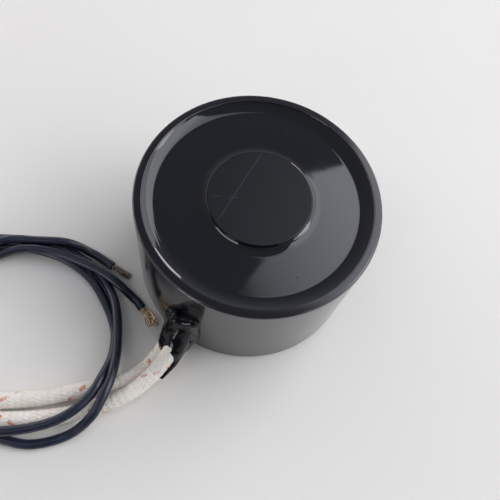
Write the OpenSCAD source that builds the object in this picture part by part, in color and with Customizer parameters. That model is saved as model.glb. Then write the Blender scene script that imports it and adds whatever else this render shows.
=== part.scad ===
// Pot-type holding electromagnet: a steel cup with a centre pole, a wound bobbin potted in resin,
// and two stranded leads that leave through the cup's wall in braided glass sleeves.
// Millimetres. Origin at the centre of the back face, +Z to the holding face, leads out along -Y.

/* [Cup] */
// Outside diameter of the steel cup
cup_d = 50; // [44:0.5:60]
// Height from the back to the holding face
cup_h = 30; // [27:0.5:45]
// Thickness of the cup's side wall
cup_wall = 1.8; // [1.4:0.1:2.6]
// Thickness of the cup's floor
cup_floor = 6; // [4:0.5:7]
// Bevel on the outer edges of the rim and the back
cup_bevel = 0.5; // [0.2:0.1:1]
// Room round the two sleeves in the cup's lead hole
lead_hole_room = 1; // [0.8:0.1:1.6]

/* [Core] */
// Diameter of the centre pole
pole_d = 21.4; // [18:0.2:24]
// Bevel round the pole's face
pole_bevel = 0.4; // [0.2:0.1:1]
// Diameter of the spigot pressed into the cup's floor
spigot_d = 14; // [10:0.5:16]
// Diameter of the tapped hole's wall in the back (tap drill of an M6 thread)
thread_bore_d = 5; // [3.3:0.1:6.8]
// Depth of the tapped hole's straight wall
thread_depth = 12; // [8:0.5:16]
// Angle of the drill point at the hole's end
drill_angle = 118; // [90:1:140]

/* [Coil] */
// Gap between the pole and the bobbin's tube
bobbin_play = 0.15; // [0.1:0.05:0.4]
// Wall of the bobbin's tube
bobbin_wall = 1; // [0.6:0.1:1.6]
// Thickness of each bobbin flange
flange_t = 1.2; // [0.8:0.1:2]
// Gap between the flanges and the cup's wall
flange_play = 0.3; // [0.1:0.05:0.6]
// Room between the winding and the cup's wall, for the lead joints
winding_room = 4.7; // [4.4:0.1:6]
// Thickness of the tape round the winding
tape_t = 0.25; // [0.1:0.05:0.4]
// Diameter of the winding's enamelled wire
wire_d = 0.5; // [0.3:0.05:0.7]
// Width of the slot for the inner wire end in the lower flange
wire_slot = 1; // [0.8:0.1:1.6]
// Gap between the inner wire end and the tape it passes
tail_gap = 0.35; // [0.1:0.05:0.6]
// Size of the bends in the inner wire end
tail_bend = 1; // [0.6:0.1:1.4]
// Diameter of the crimped joint between wire and lead
splice_d = 1.5; // [1.2:0.1:1.8]
// Length of the crimped joint
splice_len = 1.6; // [1.2:0.1:1.8]

/* [Potting] */
// Depth of the resin's flat below the holding face
resin_recess = 1.2; // [1:0.1:3]
// Thickness of the resin above the bobbin
resin_t = 3.8; // [2:0.1:5]
// Width of the resin's curved edge at the pole
pole_meniscus_w = 1.9; // [1:0.1:3]
// Depth of that edge's top below the holding face
pole_meniscus_drop = 0.65; // [0.2:0.05:0.8]
// Width of the resin's curved edge at the cup's wall
wall_meniscus_w = 2.9; // [1:0.1:3.4]
// Depth of that edge's top below the rim
wall_meniscus_drop = 0.25; // [0.2:0.05:0.8]

/* [Leads] */
// Outside diameter of a glass sleeve
sleeve_d = 3.6; // [3.2:0.1:3.7]
// Bore of a glass sleeve
sleeve_bore = 2.4; // [2.3:0.1:2.8]
// Outside diameter of a lead's insulation
lead_d = 2; // [1.6:0.1:2.1]
// How far a lead's inner end lies inside its sleeve
lead_inset = 1; // [0.5:0.1:2]
// Diameter of the bared strands where they leave the insulation
strand_d = 1.3; // [0.8:0.1:1.5]
// Diameter of the bared strands at their tip
strand_tip_d = 1; // [0.6:0.1:1.2]

/* [Hidden] */
$fn = 96;
// How far a cutting shape reaches past what it cuts
cut = 1;
// Sides of a swept cord, steps of a curved resin edge, and fineness of the seal's balls
cord_sides = 8;
arc_steps = 8;
ball_fn = 20;

cup_r = cup_d / 2;
bore_r = cup_r - cup_wall;
pole_r = pole_d / 2;
thread_r = thread_bore_d / 2;
resin_z = cup_h - resin_recess;
coil_top = resin_z - resin_t;
tube_in_r = pole_r + bobbin_play;
tube_r = tube_in_r + bobbin_wall;
flange_r = bore_r - flange_play;
winding_r = bore_r - winding_room;
tape_r = winding_r + tape_t;
winding_z0 = cup_floor + flange_t;
winding_z1 = coil_top - flange_t;
// Where the inner wire end turns up to the first layer, close to the bobbin's tube
tail_up_r = tube_r + wire_d;
slot_end_r = tail_up_r - 0.75 * wire_d;

// Routes of the sleeves and leads, from the point on the floor under the lead hole's outer mouth
sleeve_1_points = [[-1, 3.5, 10.9], [-1, 0, 9.6], [-1, -3.5, 7.2], [-1.2, -7, 4.2], [-2, -11, 2],
    [-4.6, -16.5, 1.8], [-9.5, -22, 1.8], [-15.5, -28.4, 1.8], [-23.5, -35, 1.8]];
sleeve_2_points = [[1, 3.5, 14], [1, 0, 13], [1.1, -3.5, 11], [1.2, -7, 8], [0.7, -11, 5.4],
    [-0.4, -15.5, 4.2], [-2.3, -19.5, 3.2], [-5, -23, 2.1], [-11, -30, 1.8], [-21, -38, 1.8]];
lead_1_points = [[-28, -38.3, 1.1], [-36, -42.7, 1], [-45, -43, 1], [-52.8, -38.3, 1], [-57, -30.5, 1],
    [-57, -22, 1], [-53, -14.7, 1], [-46.5, -8, 1], [-40, -3.9, 1], [-33, -1.7, 1], [-25.5, -1.8, 1],
    [-18.5, -4.5, 1], [-13, -8.1, 1], [-9.6, -12.8, 2], [-7.8, -18, 4.5], [-7.2, -23, 4.9],
    [-8.8, -29, 4.7], [-13, -34.5, 4], [-19.5, -39.8, 3.9], [-27, -41.8, 3.1], [-34.5, -39.6, 3],
    [-41.5, -33.8, 1.1], [-46.3, -26, 1], [-47.6, -18, 1], [-46, -11.5, 1.6], [-42, -6.1, 2.9],
    [-36, -2.4, 3.1], [-29, -0.3, 3.1], [-21.5, 0.6, 3.1], [-14.3, 0.3, 1], [-11.4, -0.4, 1]];
lead_2_points = [[-25, -41, 1.1], [-33, -45.7, 1], [-42, -47, 1], [-51, -43.7, 1], [-57.7, -37, 1],
    [-60.5, -28, 1], [-59, -19, 1], [-53.5, -11, 1], [-47, -5.6, 1], [-40, -1.6, 1], [-33, 0.6, 1],
    [-26, 0.5, 1], [-20, -1.3, 1.4], [-14.5, -5.2, 3], [-9.6, -11, 3.6], [-6.5, -16, 5], [-4.8, -21, 5.5],
    [-4.3, -26, 4.3], [-6.5, -31.5, 1.3], [-11.5, -37, 1], [-18.5, -40.2, 1], [-26, -44.8, 2.5],
    [-33, -45.3, 3.1], [-40.5, -43.2, 3.2], [-47.5, -37.8, 1.5], [-51.8, -30, 1], [-52.3, -21, 1],
    [-49.8, -13.8, 2.9], [-46, -6.5, 3.1], [-40.5, -2.4, 3.1], [-34.5, 1.4, 3.1], [-29.3, 3.2, 1],
    [-23.3, 3.6, 1]];
strands_1_points = [[-11.4, -0.4, 1], [-8.5, -1.1, 1], [-6.4, -1.8, 0.9]];
strands_2_points = [[-23.3, 3.6, 1], [-20.3, 3.8, 1], [-18.2, 4.2, 0.9]];

// Lumps of the sealing compound round the exit, as groups of balls [x, y, z, radius] that run together
seal_lumps = [
    [[-3, 0.3, 8.5, 1.6], [-2.4, 0, 12.5, 1.5], [2.4, 0.2, 17, 1.4], [2.6, 0.2, 7, 1.5],
        [-0.4, -1.1, 14.6, 2], [-0.6, -1.6, 9.5, 2.6]],
    [[0, -1.5, 11, 3], [0.2, -4, 8.4, 3], [-0.6, -3.4, 5.6, 2.4]],
    [[1.3, -1, 1.8, 1.6], [-2.4, -0.6, 3.2, 1.8], [0.2, -3.4, 3.4, 2.2], [0, -0.5, 8, 2.4]],
    [[0.9, -3.2, 10.4, 2.5], [1.5, -5, 9, 2.2], [1.9, -5.8, 7.8, 1.8]],
    [[2.2, -4.4, 8.2, 1.6], [2.7, -7.4, 6.6, 1.1], [2.5, -10.8, 5, 0.6]]];

sleeve_1_route = from_exit(sleeve_1_points);
sleeve_2_route = from_exit(sleeve_2_points);
lead_1_route = lead_route(sleeve_1_route, lead_1_points);
lead_2_route = lead_route(sleeve_2_route, lead_2_points);
splice_1_route = splice_route(lead_1_route);
splice_2_route = splice_route(lead_2_route);

// Lead hole: midway between the two sleeves where they pass the middle of the wall, and round both
hole_at = (in_wall(sleeve_1_route) + in_wall(sleeve_2_route)) / 2;
hole_d = norm(in_wall(sleeve_1_route) - in_wall(sleeve_2_route)) + sleeve_d + lead_hole_room;

// Points given from the exit, moved to the cup's wall
function from_exit(points) = [for (p = points) p + [0, -cup_r, 0]];

function unit(v) = v / norm(v);

// A lead starts inside its sleeve, follows it and then runs free
function lead_route(sleeve, free_points) = concat(
    [sleeve[0] + lead_inset * unit(sleeve[1] - sleeve[0])],
    [for (i = [1 : len(sleeve) - 1]) sleeve[i]],
    from_exit(free_points));

// A splice butts on the lead's inner end and lies in line with it
function splice_route(lead) = [lead[0], lead[0] + splice_len * unit(lead[0] - lead[1])];

// The point that lies a distance past a splice's inner end, in line with it
function past_splice(splice, distance) = splice[1] + distance * unit(splice[1] - splice[0]);

// The point of a sleeve's first straight stretch that lies in the middle of the cup's wall
function in_wall(route) =
    let (y = -cup_r + cup_wall / 2, share = (y - route[0].y) / (route[1].y - route[0].y))
    route[0] + share * (route[1] - route[0]);

// Direction of a route at one of its points
function heading(route, i) = unit(route[min(i + 1, len(route) - 1)] - route[max(i - 1, 0)]);

// Points of one ring of a swept tube; across is the ring's level direction
function ring(route, i, r, across) =
    let (along = heading(route, i),
        side = is_undef(across) ? unit(cross(along, [0, 0, 1])) : across,
        up = cross(side, along))
    [for (k = [0 : cord_sides - 1])
        let (a = 360 * (k + 0.5) / cord_sides) route[i] + r * (cos(a) * side + sin(a) * up)];

// Faces of a tube's side between rings that start at point number first
function side_faces(rings, first, inward) = [
    for (i = [0 : rings - 2], k = [0 : cord_sides - 1], half = [0, 1])
        let (a = first + i * cord_sides + k,
            b = first + i * cord_sides + (k + 1) % cord_sides,
            c = b + cord_sides,
            d = a + cord_sides,
            face = half == 0 ? [a, b, c] : [a, c, d])
        inward ? [face[2], face[1], face[0]] : face];

// Solid tube along a route, with a radius for its first and its last ring
module cord(route, d, end_d, across) {
    rings = len(route);
    last = (rings - 1) * cord_sides;
    points = [for (i = [0 : rings - 1])
        each ring(route, i, (d + (end_d - d) * i / (rings - 1)) / 2, across)];
    polyhedron(points, concat(
        [[for (k = [0 : cord_sides - 1]) cord_sides - 1 - k]],
        [[for (k = [0 : cord_sides - 1]) last + k]],
        side_faces(rings, 0, false)));
}

// Hollow tube along a route
module sleeving(route, d, bore) {
    rings = len(route);
    inner = rings * cord_sides;
    last = inner - cord_sides;
    points = concat(
        [for (i = [0 : rings - 1]) each ring(route, i, d / 2)],
        [for (i = [0 : rings - 1]) each ring(route, i, bore / 2)]);
    ends = [for (k = [0 : cord_sides - 1], half = [0, 1])
        let (n = (k + 1) % cord_sides)
        each half == 0
            ? [[k, inner + k, inner + n], [last + k, last + n, inner + last + n]]
            : [[k, inner + n, n], [last + k, inner + last + n, inner + last + k]]];
    polyhedron(points, concat(side_faces(rings, 0, false), side_faces(rings, inner, true), ends));
}

// Ring of rectangular section
module band(r_in, r_out, z0, z1) {
    rotate_extrude() translate([r_in, z0]) square([r_out - r_in, z1 - z0]);
}

// Round bar along Y through the cup's wall at the lead hole
module hole_bar(y0, y1) {
    translate([hole_at.x, y0, hole_at.z]) rotate([-90, 0, 0]) cylinder(h = y1 - y0, d = hole_d);
}

module cup() color("#17181a") difference() {
    rotate_extrude() polygon([
        [spigot_d / 2, 0], [cup_r - cup_bevel, 0], [cup_r, cup_bevel],
        [cup_r, cup_h - cup_bevel], [cup_r - cup_bevel, cup_h], [bore_r, cup_h],
        [bore_r, cup_floor], [spigot_d / 2, cup_floor]]);
    hole_bar(-cup_r - cut, -bore_r + cut);
}

module core() color("#1c1d20") rotate_extrude() polygon([
    [thread_r, 0], [spigot_d / 2, 0], [spigot_d / 2, cup_floor], [pole_r, cup_floor],
    [pole_r, cup_h - pole_bevel], [pole_r - pole_bevel, cup_h], [0, cup_h],
    [0, thread_depth + thread_r / tan(drill_angle / 2)], [thread_r, thread_depth]]);

module bobbin() color("#e8e2d2") difference() {
    rotate_extrude() polygon([
        [tube_in_r, cup_floor], [flange_r, cup_floor], [flange_r, winding_z0], [tube_r, winding_z0],
        [tube_r, winding_z1], [flange_r, winding_z1], [flange_r, coil_top], [tube_in_r, coil_top]]);
    translate([splice_2_route[1].x - wire_slot / 2, -flange_r - cut, cup_floor - cut])
        cube([wire_slot, flange_r + cut - slot_end_r, flange_t + 2 * cut]);
}

module winding() color("#a4562a") band(tube_r, winding_r, winding_z0, winding_z1);

module winding_tape() color("#d8b24a") band(winding_r, tape_r, winding_z0, winding_z1);

// Inner wire end: down beside the tape, through the flange's slot and up to the first layer
module start_tail() color("#b4602c") {
    from = splice_2_route[1];
    down_y = -tape_r - tail_gap - wire_d / 2;
    slot_z = cup_floor + flange_t / 2;
    cord([from, past_splice(splice_2_route, tail_bend / 2), [from.x, down_y, from.z - tail_bend],
        [from.x, down_y, winding_z0], [from.x, down_y + tail_bend, slot_z],
        [from.x, -tail_up_r - tail_bend / 2, slot_z], [from.x, -tail_up_r, winding_z0 - flange_t / 4],
        [from.x, -tail_up_r, winding_z0]], wire_d, wire_d, [1, 0, 0]);
}

// Outer wire end: straight from the splice to the tape's lapped edge
module finish_tail() color("#b4602c") difference() {
    from = splice_1_route[1];
    cord([from, past_splice(splice_1_route, -tape_r + 2 * wire_d - from.y)], wire_d, wire_d, [1, 0, 0]);
    cylinder(h = cup_h, r = tape_r);
}

module splice_1() color("#b9bcc0") cord(splice_1_route, splice_d, splice_d);

module splice_2() color("#b9bcc0") cord(splice_2_route, splice_d, splice_d);

// Arc of the resin's curved edge, from the flat up to a wall that lies towards dir (-1 inwards)
function meniscus(wall_r, width, rise, dir) =
    let (r = (width * width + rise * rise) / (2 * rise), top = atan2(width, r - rise))
    [for (i = [0 : arc_steps])
        let (a = top * i / arc_steps)
        [wall_r - dir * width + dir * r * sin(a), resin_z + r - r * cos(a)]];

module potting() color("#101114") {
    inner = meniscus(pole_r, pole_meniscus_w, resin_recess - pole_meniscus_drop, -1);
    outer = meniscus(bore_r, wall_meniscus_w, resin_recess - wall_meniscus_drop, 1);
    rotate_extrude() polygon(concat(
        [[bore_r, coil_top], [pole_r, coil_top]],
        [for (i = [arc_steps : -1 : 0]) inner[i]],
        outer));
}

module exit_seal() color("#0d0d0f") difference() {
    union() {
        difference() {
            intersection() {
                union() for (lump = seal_lumps)
                    hull() for (ball = lump)
                        translate([ball[0], ball[1] - cup_r, ball[2]]) sphere(r = ball[3], $fn = ball_fn);
                translate([-cup_r, -2 * cup_r, 0]) cube([cup_d, 2 * cup_r, cup_h]);
            }
            translate([0, 0, -cut]) cylinder(h = cup_h + 2 * cut, r = cup_r);
        }
        intersection() {
            hole_bar(-cup_r - cut, -bore_r + cut);
            band(bore_r, cup_r, 0, cup_h);
        }
    }
    cord(sleeve_1_route, sleeve_d, sleeve_d);
    cord(sleeve_2_route, sleeve_d, sleeve_d);
}

module glass_sleeve_1() color("#e6e1d6") sleeving(sleeve_1_route, sleeve_d, sleeve_bore);

module glass_sleeve_2() color("#e6e1d6") sleeving(sleeve_2_route, sleeve_d, sleeve_bore);

module lead_1() color("#1b1c22") cord(lead_1_route, lead_d, lead_d);

module lead_2() color("#1b1c22") cord(lead_2_route, lead_d, lead_d);

module strands_1() color("#a8703f") cord(from_exit(strands_1_points), strand_d, strand_tip_d);

module strands_2() color("#8a6a4a") cord(from_exit(strands_2_points), strand_d, strand_tip_d);

cup();
core();
bobbin();
winding();
winding_tape();
start_tail();
finish_tail();
splice_1();
splice_2();
potting();
exit_seal();
glass_sleeve_1();
glass_sleeve_2();
lead_1();
lead_2();
strands_1();
strands_2();
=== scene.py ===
"""Looks of the pot-type holding electromagnet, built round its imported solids.

Metres, in the part's own frame: origin at the centre of the back, +Z to the holding face and the
leads out along -Y. Lengths are written in millimetres and turned to metres with MM.
"""
import math
import bmesh
import bpy
import numpy as np
from mathutils import Matrix, Vector


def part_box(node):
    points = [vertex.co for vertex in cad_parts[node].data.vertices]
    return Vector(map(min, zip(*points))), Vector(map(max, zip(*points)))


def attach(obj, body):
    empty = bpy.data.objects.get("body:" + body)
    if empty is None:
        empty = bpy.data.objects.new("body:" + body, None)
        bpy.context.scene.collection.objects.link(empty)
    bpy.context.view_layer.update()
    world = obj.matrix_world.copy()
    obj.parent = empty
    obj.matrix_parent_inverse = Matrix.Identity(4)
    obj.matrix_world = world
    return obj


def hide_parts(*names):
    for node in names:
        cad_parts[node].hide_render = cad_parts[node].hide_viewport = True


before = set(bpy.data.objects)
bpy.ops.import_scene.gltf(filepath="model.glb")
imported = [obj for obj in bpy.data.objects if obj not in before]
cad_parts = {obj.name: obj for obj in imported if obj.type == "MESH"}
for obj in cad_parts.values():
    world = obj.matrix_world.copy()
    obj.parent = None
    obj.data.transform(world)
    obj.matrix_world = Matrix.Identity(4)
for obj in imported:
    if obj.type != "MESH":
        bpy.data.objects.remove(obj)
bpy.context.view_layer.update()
MM = 0.001

# Driving sizes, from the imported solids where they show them

CUP_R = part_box("cup")[1].x
CUP_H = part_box("cup")[1].z
POLE_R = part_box("core")[1].x
BORE_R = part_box("potting")[1].x
RESIN_BASE_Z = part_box("potting")[0].z
CUP_FLOOR = 6 * MM
CUP_EDGE = 0.5 * MM
RIM_INNER_EDGE = 0.2 * MM
SPIGOT_R = 7 * MM
POLE_EDGE = 0.3 * MM
THREAD_MINOR_R = 2.5 * MM
THREAD_MAJOR_R = 3 * MM
THREAD_PITCH = 1 * MM
THREAD_DEPTH = 12 * MM
THREAD_MOUTH = 0.5 * MM
DRILL_ANGLE = math.radians(118)
RESIN_Z = CUP_H - 1.2 * MM
POLE_MENISCUS = (1.9 * MM, 0.52 * MM, 2)
WALL_MENISCUS = (2.9 * MM, 0.95 * MM, 2)
WALL_MENISCUS_SWING = (0.2 * MM, math.radians(70))
RIM_TILT = (math.radians(3), math.radians(10))
SLEEVE_D = 3.6 * MM
SLEEVE_SWELL = 0.35 * MM
SLEEVE_SWELL_LENGTH = 7 * MM
SLEEVE_FLARE = 0.35 * MM
LEAD_D = 2 * MM
LEAD_CORE_R = 0.66 * MM
LEAD_EDGE = 0.08 * MM
LEAD_LIP = 0.06 * MM
LEAD_END_DEPTH = 0.8 * MM
STRAND_D = 0.2 * MM
HOLE_D = 8.5 * MM
HOLE_Z = 11.6 * MM
HOLE_CUT = 6 * MM
TURN_STEPS = 192
RIM_STEPS = 8
THREAD_ROWS_A_TURN = 8
HOLD_SHARE = 0.06
FLOOR_GAP = 0.02 * MM

# Routes in millimetres from the point on the floor under the lead hole's outer mouth

SLEEVE_1 = [(-1, 3.5, 10.9), (-1, 0, 9.6), (-1, -3.5, 7.2), (-1.2, -7, 4.2), (-2, -11, 2),
            (-4.6, -16.5, 1.8), (-9.5, -22, 1.8), (-15.5, -28.4, 1.8), (-23.5, -35, 1.8)]
SLEEVE_2 = [(1, 3.5, 14), (1, 0, 13), (1.1, -3.5, 11), (1.2, -7, 8), (0.7, -11, 5.4),
            (-0.4, -15.5, 4.2), (-2.3, -19.5, 3.2), (-5, -23, 2.1), (-11, -30, 1.8), (-21, -38, 1.8)]
LEAD_1 = [(-28, -38.3, 1.1), (-36, -42.7, 1), (-45, -43, 1), (-52.8, -38.3, 1), (-57, -30.5, 1),
          (-57, -22, 1), (-53, -14.7, 1), (-46.5, -8, 1), (-40, -3.9, 1), (-33, -1.7, 1), (-25.5, -1.8, 1),
          (-18.5, -4.5, 1), (-13, -8.1, 1), (-9.6, -12.8, 2), (-7.8, -18, 4.5), (-7.2, -23, 4.9),
          (-8.8, -29, 4.7), (-13, -34.5, 4), (-19.5, -39.8, 3.9), (-27, -41.8, 3.1), (-34.5, -39.6, 3),
          (-41.5, -33.8, 1.1), (-46.3, -26, 1), (-47.6, -18, 1), (-46, -11.5, 1.6), (-42, -6.1, 2.9),
          (-36, -2.4, 3.1), (-29, -0.3, 3.1), (-21.5, 0.6, 3.1), (-14.3, 0.3, 1), (-11.4, -0.4, 1)]
LEAD_2 = [(-25, -41, 1.1), (-33, -45.7, 1), (-42, -47, 1), (-51, -43.7, 1), (-57.7, -37, 1),
          (-60.5, -28, 1), (-59, -19, 1), (-53.5, -11, 1), (-47, -5.6, 1), (-40, -1.6, 1), (-33, 0.6, 1),
          (-26, 0.5, 1), (-20, -1.3, 1.4), (-14.5, -5.2, 3), (-9.6, -11, 3.6), (-6.5, -16, 5),
          (-4.8, -21, 5.5), (-4.3, -26, 4.3), (-6.5, -31.5, 1.3), (-11.5, -37, 1), (-18.5, -40.2, 1),
          (-26, -44.8, 2.5), (-33, -45.3, 3.1), (-40.5, -43.2, 3.2), (-47.5, -37.8, 1.5), (-51.8, -30, 1),
          (-52.3, -21, 1), (-49.8, -13.8, 2.9), (-46, -6.5, 3.1), (-40.5, -2.4, 3.1), (-34.5, 1.4, 3.1),
          (-29.3, 3.2, 1), (-23.3, 3.6, 1)]
STRANDS_1 = [(-11.4, -0.4, 1), (-8.5, -1.1, 1), (-6.4, -1.8, 0.9)]
STRANDS_2 = [(-23.3, 3.6, 1), (-20.3, 3.8, 1), (-18.2, 4.2, 0.9)]
ROUTE_STEPS = 14

# Strokes of sealing compound as balls (x, y, z, radius) that run from one to the next

SEAL_STROKES = [
    [(-3.2, 0.2, 8.5, 1.9), (-2.6, 0, 12.5, 1.8), (-0.4, -0.7, 14.6, 2), (2.3, 0.2, 16, 1.6),
     (2.7, 0.1, 7, 1.6), (1.6, -0.6, 2, 1.7)],
    [(-0.8, -1, 15.5, 1.6), (-0.8, -1.6, 10.5, 2.7), (-0.4, -4, 7.4, 2.6), (-0.6, -5, 5.4, 1.9)],
    [(0.6, -1, 12.5, 2.6), (0.8, -3.4, 9.4, 2.8), (1.6, -2.6, 6, 2.2), (1.2, -2, 2.2, 2)],
    [(-2.6, -0.6, 4, 1.8), (-1.6, -2.4, 4.4, 2.2), (0.2, -2.8, 3, 2.1), (0, 0.4, 9, 3.2)],
    [(0.9, -3.2, 10.4, 2.5), (1.5, -5, 9, 2.2), (1.9, -5.8, 7.8, 1.8)],
    [(2.2, -4.4, 8.2, 1.6), (2.7, -7.4, 6.6, 1.1), (2.5, -10.8, 5, 0.6)],
]
SEAL_BALLS = 12
SEAL_VOXEL = 0.25 * MM
SEAL_BITE = 0.03 * MM


def srgb(code):
    """Linear colour of an sRGB hex value."""
    shares = [int(code[i:i + 2], 16) / 255 for i in (1, 3, 5)]
    return tuple(c / 12.92 if c <= 0.04045 else ((c + 0.055) / 1.055) ** 2.4 for c in shares) + (1,)


def add(tree, kind, links=None, **settings):
    """Adds a node; links gives its inputs, by name or number, a value or another node's output."""
    node = tree.nodes.new(kind)
    for name, value in settings.items():
        setattr(node, name, value)
    for name, value in (links or {}).items():
        if isinstance(value, bpy.types.NodeSocket):
            tree.links.new(value, node.inputs[name])
        else:
            node.inputs[name].default_value = value
    return node


def start_material(name):
    """A new material with its node tree and its Principled shader."""
    material = bpy.data.materials.new(name)
    material.use_nodes = True
    return material, material.node_tree, material.node_tree.nodes["Principled BSDF"]


def set_shader(tree, shader, links):
    """Sets the shader's sockets to values or to other nodes' outputs."""
    for name, value in links.items():
        if isinstance(value, bpy.types.NodeSocket):
            tree.links.new(value, shader.inputs[name])
        else:
            shader.inputs[name].default_value = value


# Materials


def black_stove_enamel():
    """Black enamel baked on turned steel: soft gloss, faint orange peel, turning rings and haze."""
    material, tree, shader = start_material("black_stove_enamel")
    place = add(tree, "ShaderNodeTexCoord").outputs["Object"]
    peel = add(tree, "ShaderNodeTexNoise", {"Vector": place, "Scale": 1 / (1.6 * MM), "Detail": 1})
    haze = add(tree, "ShaderNodeTexNoise", {"Vector": place, "Scale": 1 / (11 * MM), "Detail": 4})
    rings = add(tree, "ShaderNodeTexWave", {"Vector": place, "Scale": 2 * math.pi / (20 * 0.35 * MM),
                                            "Distortion": 0.6}, wave_type="RINGS", rings_direction="Z")
    rough = add(tree, "ShaderNodeMapRange",
                {"Value": haze.outputs["Fac"], "From Min": 0.3, "From Max": 0.75, "To Min": 0.1,
                 "To Max": 0.17})
    facing = add(tree, "ShaderNodeSeparateXYZ", {0: add(tree, "ShaderNodeNewGeometry").outputs["Normal"]})
    faced = add(tree, "ShaderNodeMapRange",
                {"Value": facing.outputs["Z"], "From Min": 0.9, "From Max": 0.99})
    rough = add(tree, "ShaderNodeMix",
                {"Factor": faced.outputs["Result"], "A": rough.outputs["Result"], "B": 0.2})
    gloss = add(tree, "ShaderNodeMapRange",
                {"Value": faced.outputs["Result"], "To Min": 0.5, "To Max": 0.24})
    bump = add(tree, "ShaderNodeBump",
               {"Height": peel.outputs["Fac"], "Strength": 0.12, "Distance": 0.01 * MM})
    turned = add(tree, "ShaderNodeBump", {"Height": rings.outputs["Fac"], "Strength": 0.1,
                                          "Distance": 0.01 * MM,
                                          "Normal": bump.outputs["Normal"]})
    set_shader(tree, shader, {"Base Color": srgb("#0d0d13"), "Roughness": rough.outputs[0], "IOR": 1.8,
                              "Specular IOR Level": gloss.outputs["Result"],
                              "Normal": turned.outputs["Normal"]})
    return material


SCRATCHES = [((-5.6, 10), (-3.5, -10.4), 0.06), ((-5, -4.3), (-3.3, -2.6), 0.05),
             ((-7.6, -5.6), (-6.2, -4.4), 0.05)]


def satin_black_oxide():
    """Blackened, blasted steel: even satin black, fine grain, hair scratches and a rubbed, glossy edge."""
    material, tree, shader = start_material("satin_black_oxide")
    place = add(tree, "ShaderNodeTexCoord").outputs["Object"]
    grain = add(tree, "ShaderNodeTexNoise", {"Vector": place, "Scale": 1 / (0.25 * MM), "Detail": 3})
    bloom = add(tree, "ShaderNodeTexNoise", {"Vector": place, "Scale": 1 / (6 * MM), "Detail": 3})
    marks = None
    for start, end, width in SCRATCHES:
        a, b = Vector(start) * MM, Vector(end) * MM
        middle, run = (a + b) / 2, b - a
        turn = math.atan2(run.y, run.x)
        moved = add(tree, "ShaderNodeVectorMath", {0: place, 1: (middle.x, middle.y, CUP_H)},
                    operation="SUBTRACT")
        wobble = add(tree, "ShaderNodeTexNoise", {"Vector": place, "Scale": 1 / (4 * MM), "Detail": 1})
        turned = add(tree, "ShaderNodeVectorRotate", {"Vector": moved.outputs["Vector"], "Angle": -turn},
                     rotation_type="Z_AXIS")
        parts = add(tree, "ShaderNodeSeparateXYZ", {0: turned.outputs["Vector"]})
        bend = add(tree, "ShaderNodeMath", {0: wobble.outputs["Fac"], 1: 0.35 * MM}, operation="MULTIPLY")
        across = add(tree, "ShaderNodeMath", {0: parts.outputs["Y"], 1: bend.outputs["Value"]},
                     operation="ADD")
        off_line = add(tree, "ShaderNodeMath", {0: across.outputs["Value"], 1: 0.17 * MM},
                       operation="SUBTRACT")
        distance = add(tree, "ShaderNodeMath", {0: off_line.outputs["Value"]}, operation="ABSOLUTE")
        line = add(tree, "ShaderNodeMapRange", {"Value": distance.outputs["Value"],
                                                "From Min": 0.35 * width * MM,
                                                "From Max": width * MM, "To Min": 1, "To Max": 0})
        reach = add(tree, "ShaderNodeMath", {0: parts.outputs["X"]}, operation="ABSOLUTE")
        ends = add(tree, "ShaderNodeMapRange", {"Value": reach.outputs["Value"],
                                                "From Min": 0.36 * run.length,
                                                "From Max": 0.5 * run.length, "To Min": 1, "To Max": 0})
        high = add(tree, "ShaderNodeMath", {0: parts.outputs["Z"], 1: -0.05 * MM}, operation="GREATER_THAN")
        mark = add(tree, "ShaderNodeMath", {0: line.outputs["Result"], 1: ends.outputs["Result"]},
                   operation="MULTIPLY")
        mark = add(tree, "ShaderNodeMath", {0: mark.outputs["Value"], 1: high.outputs["Value"]},
                   operation="MULTIPLY").outputs["Value"]
        if marks is not None:
            mark = add(tree, "ShaderNodeMath", {0: marks, 1: mark}, operation="MAXIMUM").outputs["Value"]
        marks = mark
    shade = add(tree, "ShaderNodeMix",
                {"Factor": bloom.outputs["Fac"], "A": srgb("#090a0f"), "B": srgb("#0d0f16")},
                data_type="RGBA")
    colour = add(tree, "ShaderNodeMix",
                 {"Factor": marks, "A": shade.outputs["Result"], "B": srgb("#434449")},
                 data_type="RGBA")
    flat = add(tree, "ShaderNodeVectorMath", {0: place, 1: (1, 1, 0)}, operation="MULTIPLY")
    out = add(tree, "ShaderNodeVectorMath", {0: flat.outputs["Vector"]}, operation="LENGTH")
    rubbed = add(tree, "ShaderNodeMapRange", {"Value": out.outputs["Value"],
                                              "From Min": POLE_R - 1.2 * POLE_EDGE,
                                              "From Max": POLE_R - 0.8 * POLE_EDGE})
    matt = add(tree, "ShaderNodeMapRange", {"Value": bloom.outputs["Fac"], "To Min": 0.36, "To Max": 0.5})
    rough = add(tree, "ShaderNodeMix",
                {"Factor": rubbed.outputs["Result"], "A": matt.outputs["Result"], "B": 0.16})
    bump = add(tree, "ShaderNodeBump",
               {"Height": grain.outputs["Fac"], "Strength": 0.25, "Distance": 0.01 * MM})
    set_shader(tree, shader, {"Base Color": colour.outputs["Result"], "Roughness": rough.outputs["Result"],
                              "IOR": 1.35, "Normal": bump.outputs["Normal"]})
    return material


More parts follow.
